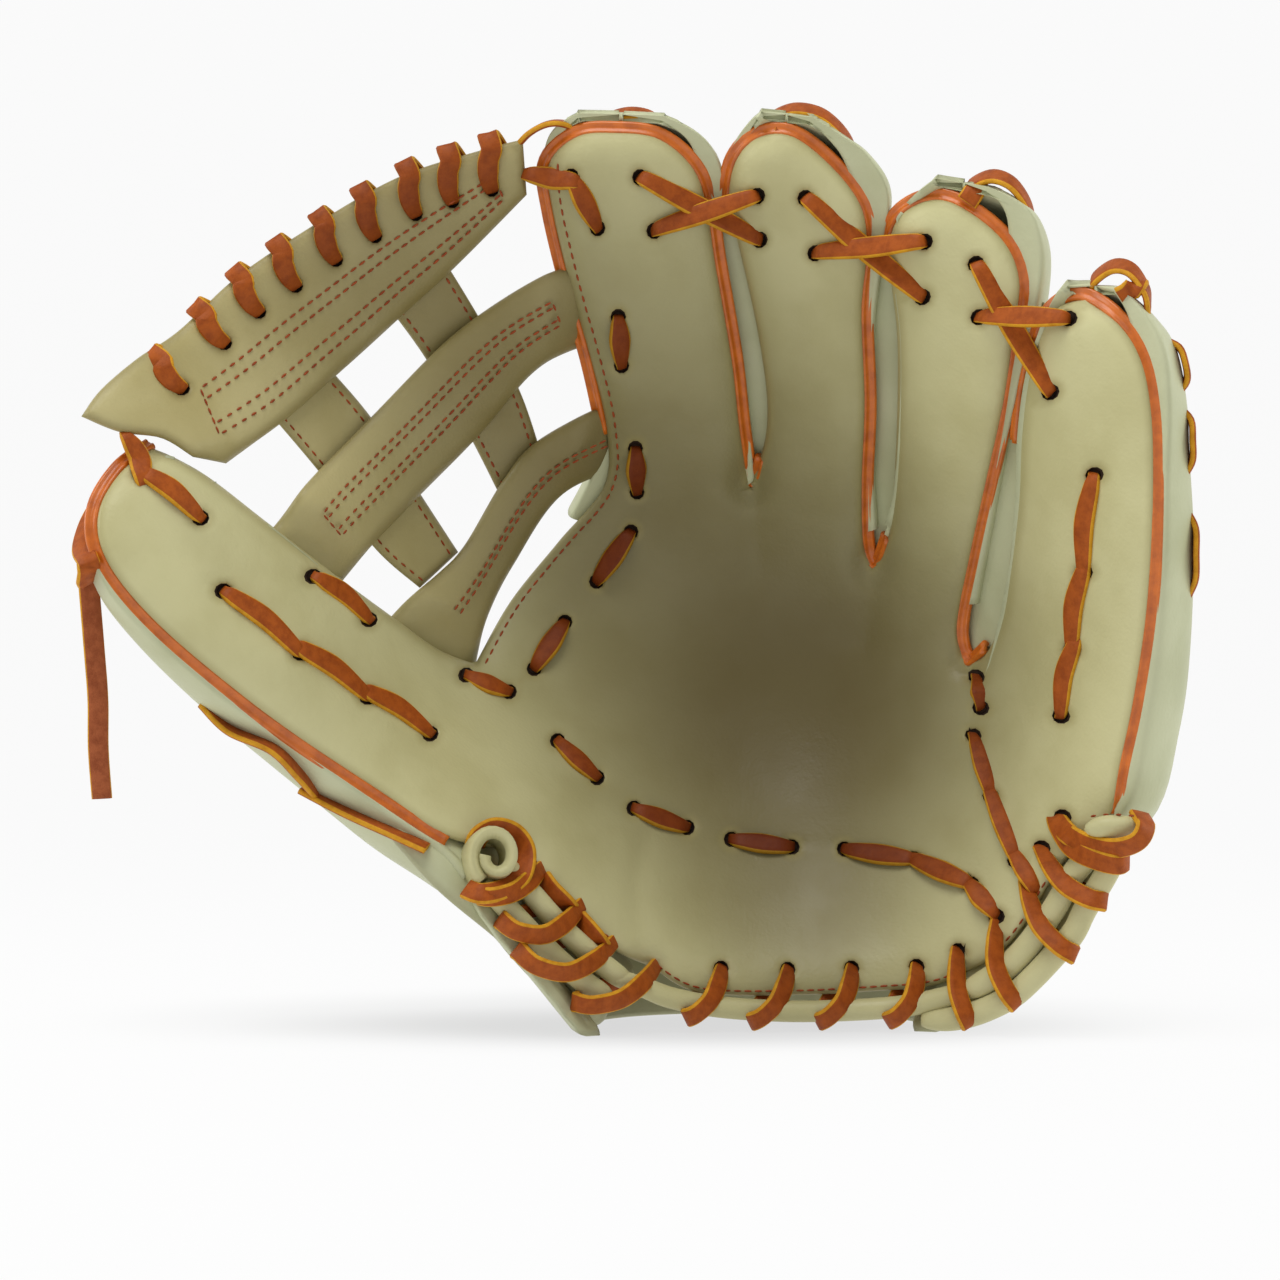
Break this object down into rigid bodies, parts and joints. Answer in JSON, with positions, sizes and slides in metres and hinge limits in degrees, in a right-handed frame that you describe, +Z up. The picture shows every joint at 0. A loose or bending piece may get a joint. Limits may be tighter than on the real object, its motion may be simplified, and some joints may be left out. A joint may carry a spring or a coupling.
{
  "type": "baseball glove",
  "caption": "Fielder's glove of laced cream leather with padded finger stalls, a deep ball pocket and a laced web of bars between thumb and index finger, standing on its heel",
  "frame": {"origin": "middle of the base: centre of the plan bounding box, on the floor the heel stands on", "axes": "+Z up towards the fingertips, +X from the thumb to the little finger, +Y from the open pocket to the back of the hand"},
  "size_m": [0.3463, 0.1811, 0.289],
  "materials": {
    "palm_leather": "satin",
    "back_leather": "satin",
    "felt": "matte",
    "lining": "matte",
    "welt": "satin",
    "lace": "matte"
  },
  "bodies": {
    "palm": {"palm_shell": "palm_leather", "palm_padding": "felt", "palm_lining": "lining", "index_finger_back": "back_leather", "middle_finger_back": "back_leather", "ring_finger_back": "back_leather", "index_welt": "welt", "middle_welt": "welt", "ring_welt": "welt", "wrist_band": "back_leather", "back_panel": "back_leather", "heel_roll": "palm_leather", "heel_lace": "lace", "palm_lace": "lace", "index_web_lace": "lace", "index_middle_lace": "lace", "middle_ring_lace": "lace", "ring_pinky_lace": "lace", "web_top_bar": "palm_leather", "web_middle_bar": "palm_leather", "web_lower_bar": "palm_leather", "web_post_thumb_side": "palm_leather", "web_post_index_side": "palm_leather", "web_crown_lace": "lace"},
    "thumb": {"thumb_shell": "palm_leather", "thumb_padding": "felt", "thumb_back": "back_leather", "thumb_welt": "welt", "thumb_web_lace": "lace", "thumb_heel_roll": "palm_leather", "thumb_heel_roll_outer": "palm_leather", "thumb_heel_lace": "lace", "thumb_tip_knot": "lace", "thumb_back_knot": "lace", "thumb_lace_tail": "lace"},
    "pinky": {"pinky_shell": "palm_leather", "pinky_padding": "felt", "pinky_back": "back_leather", "pinky_welt": "welt", "pinky_side_lace": "lace", "pinky_back_lace": "lace", "pinky_heel_roll": "palm_leather", "pinky_heel_lace": "lace"}
  },
  "joints": [
    {"name": "thumb_close", "type": "hinge", "parent": "palm", "child": "thumb", "pos_m": [0.0018, -0.0189, 0.02], "axis": [-0.4754, 0.3253, 0.8174], "range_deg": [0, 35], "deforming": ["web_top_bar", "web_middle_bar", "web_lower_bar", "web_post_thumb_side", "web_post_index_side", "web_crown_lace"]},
    {"name": "pinky_close", "type": "hinge", "parent": "palm", "child": "pinky", "pos_m": [0.1028, -0.0262, 0.021], "axis": [-0.0779, 0.0877, -0.9931], "range_deg": [0, 10], "deforming": ["ring_pinky_lace"]}
  ]
}
